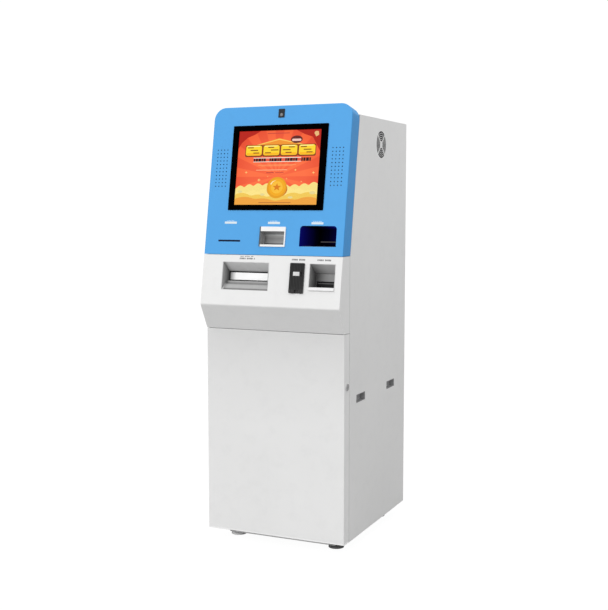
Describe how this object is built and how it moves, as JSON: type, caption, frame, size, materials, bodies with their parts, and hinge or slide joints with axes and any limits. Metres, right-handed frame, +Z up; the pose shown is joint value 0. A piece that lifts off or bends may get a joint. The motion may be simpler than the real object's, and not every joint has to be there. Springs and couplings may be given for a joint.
{
  "type": "atm machine",
  "caption": "Free-standing self-service cash and currency-exchange kiosk with a sloping blue fascia door, display, white console with cash mouth and coin slot, and a tall lower door.",
  "frame": {"origin": "centre of the footprint's bounding box at floor level", "axes": "+X to the right seen from the front, +Y from the front to the back, +Z up"},
  "size_m": [0.5772, 0.7298, 1.682],
  "materials": {
    "cabinet_paint": "light grey-white powder coat, fine orange peel",
    "blue_paint": "sky-blue powder coat, satin",
    "zinc": "bright zinc plate",
    "galvanised": "galvanised sheet, spangled",
    "brushed": "brushed stainless",
    "dark_frame": "grey paint",
    "black_metal": "black powder coat",
    "foot_rubber": "matt moulded rubber",
    "roller_rubber": "ground rubber",
    "grey_plastic": "fine textured moulding",
    "mouth_plastic": "light grey moulding",
    "white_plastic": "white moulding",
    "dark_plastic": "dark grey ribbed moulding",
    "black_plastic": "black moulding",
    "cassette_grey": "dark grey cassette shell",
    "chrome": "polished lock",
    "bezel_black": "black bezel",
    "camera_grey": "grey camera housing",
    "lens": "dark lens",
    "slot_blue": "dark blue slot moulding",
    "paper": "thermal paper",
    "scanner_black": "black-blue hood",
    "clear_glass": "scanner window",
    "screen": "lit display",
    "light_bar": "white diffuser"
  },
  "bodies": {
    "cabinet": {"right_side_panel": "cabinet_paint", "left_side_panel": "cabinet_paint", "top_panel": "cabinet_paint", "back_panel": "cabinet_paint", "back_panel_screws": "zinc", "base_tray": "galvanised", "base_frame": "dark_frame", "foot_pads": "foot_rubber", "foot_studs": "zinc", "front_frame": "galvanised", "equipment_shelf": "galvanised", "hinge_brackets": "zinc", "lock_strikers": "zinc", "hand_hold_cups": "grey_plastic", "console_shell": "cabinet_paint", "cash_mouth": "mouth_plastic", "coin_face": "dark_plastic", "coin_acceptor": "black_plastic", "coin_chute": "galvanised", "coin_cup": "mouth_plastic", "coin_hopper": "black_plastic", "note_dispenser": "galvanised", "note_transport": "galvanised", "control_computer": "black_metal", "power_supply": "galvanised", "fan_frame": "black_plastic", "power_inlet": "black_plastic"},
    "lower_door": {"door_skin": "cabinet_paint", "door_stiffener": "galvanised", "lock_barrel": "chrome"},
    "door_lock": {"lock_plug": "chrome", "lock_cam": "zinc"},
    "fascia": {"fascia_shell": "blue_paint", "display_bezel": "bezel_black", "display_panel": "screen", "display_case": "black_metal", "camera_housing": "camera_grey", "camera_lens": "lens", "speakers": "black_plastic", "card_reader": "slot_blue", "printer_bezel": "white_plastic", "printer_chassis": "black_plastic", "scanner_hood": "scanner_black", "scanner_glass": "clear_glass", "guide_lights": "light_bar"},
    "latch": {"fascia_latch": "zinc"},
    "lid": {"printer_lid": "grey_plastic"},
    "roll": {"paper_roll": "paper"},
    "shutter": {"cash_shutter": "white_plastic"},
    "roller_lower": {"presenter_roller_lower": "roller_rubber"},
    "roller_upper": {"presenter_roller_upper": "roller_rubber"},
    "return_button": {"coin_return_button": "white_plastic"},
    "flap": {"coin_flap": "brushed"},
    "coin_drawer": {"coin_box": "galvanised"},
    "fan": {"fan_rotor": "black_plastic"},
    "rocker": {"power_rocker": "black_plastic"},
    "note_cassette_1": {"cassette_1": "cassette_grey"},
    "note_cassette_2": {"cassette_2": "cassette_grey"},
    "note_cassette_3": {"cassette_3": "cassette_grey"},
    "note_cassette_4": {"cassette_4": "cassette_grey"}
  },
  "joints": [
    {"name": "lower_door_swing", "type": "hinge", "parent": "cabinet", "child": "lower_door", "pos_m": [-0.279, -0.2719, 0.4], "axis": [0, 0, -1], "range_deg": [0, 95]},
    {"name": "door_lock_turn", "type": "hinge", "parent": "lower_door", "child": "door_lock", "pos_m": [0.27, -0.2859, 0.639], "axis": [-1, 0, 0], "range_deg": [0, 90]},
    {"name": "fascia_swing", "type": "hinge", "parent": "cabinet", "child": "fascia", "pos_m": [-0.279, -0.21923, 1.40845], "axis": [0, -0.1719, -0.9851], "range_deg": [0, 95]},
    {"name": "fascia_latch_turn", "type": "hinge", "parent": "fascia", "child": "latch", "pos_m": [0.265, -0.20723, 1.55862], "axis": [-1, 0, 0], "range_deg": [0, 90]},
    {"name": "printer_lid_hinge", "type": "hinge", "parent": "fascia", "child": "lid", "pos_m": [0, -0.19934, 1.21413], "axis": [-1, 0, 0], "range_deg": [0, 60]},
    {"name": "paper_roll_spin", "type": "hinge", "parent": "fascia", "child": "roll", "pos_m": [0, -0.23518, 1.17166], "axis": [1, 0, 0], "continuous": true},
    {"name": "shutter_lift", "type": "slide", "parent": "cabinet", "child": "shutter", "axis": [0, 0.1719, 0.9851], "range_m": [0, 0.026]},
    {"name": "roller_lower_spin", "type": "hinge", "parent": "cabinet", "child": "roller_lower", "pos_m": [-0.104, -0.2599, 1.0296], "axis": [1, 0, 0], "continuous": true},
    {"name": "roller_upper_spin", "type": "hinge", "parent": "cabinet", "child": "roller_upper", "pos_m": [-0.104, -0.2599, 1.0544], "axis": [1, 0, 0], "continuous": true},
    {"name": "coin_return_press", "type": "slide", "parent": "cabinet", "child": "return_button", "axis": [0, 0.9851, -0.1719], "range_m": [0, 0.003], "stiffness_N_per_m": 300, "springref_m": -0.001},
    {"name": "coin_flap_swing", "type": "hinge", "parent": "cabinet", "child": "flap", "pos_m": [0.21, -0.28397, 1.02588], "axis": [-1, 0, 0], "range_deg": [-15, 55]},
    {"name": "coin_box_slide", "type": "slide", "parent": "cabinet", "child": "coin_drawer", "axis": [0, -1, 0], "range_m": [0, 0.12]},
    {"name": "fan_spin", "type": "hinge", "parent": "cabinet", "child": "fan", "pos_m": [0.27, 0.0626, 1.545], "axis": [1, 0, 0], "continuous": true},
    {"name": "power_rocker_tip", "type": "hinge", "parent": "cabinet", "child": "rocker", "pos_m": [-0.15, 0.3591, 0.13], "axis": [-1, 0, 0], "range_deg": [0, 16]},
    {"name": "cassette_1_slide", "type": "slide", "parent": "cabinet", "child": "note_cassette_1", "axis": [0, -1, 0], "range_m": [0, 0.15]},
    {"name": "cassette_2_slide", "type": "slide", "parent": "cabinet", "child": "note_cassette_2", "axis": [0, -1, 0], "range_m": [0, 0.15]},
    {"name": "cassette_3_slide", "type": "slide", "parent": "cabinet", "child": "note_cassette_3", "axis": [0, -1, 0], "range_m": [0, 0.15]},
    {"name": "cassette_4_slide", "type": "slide", "parent": "cabinet", "child": "note_cassette_4", "axis": [0, -1, 0], "range_m": [0, 0.15]}
  ],
  "couplings": [
    {"joint": "roller_upper_spin", "follows": "roller_lower_spin", "ratio": -1}
  ]
}
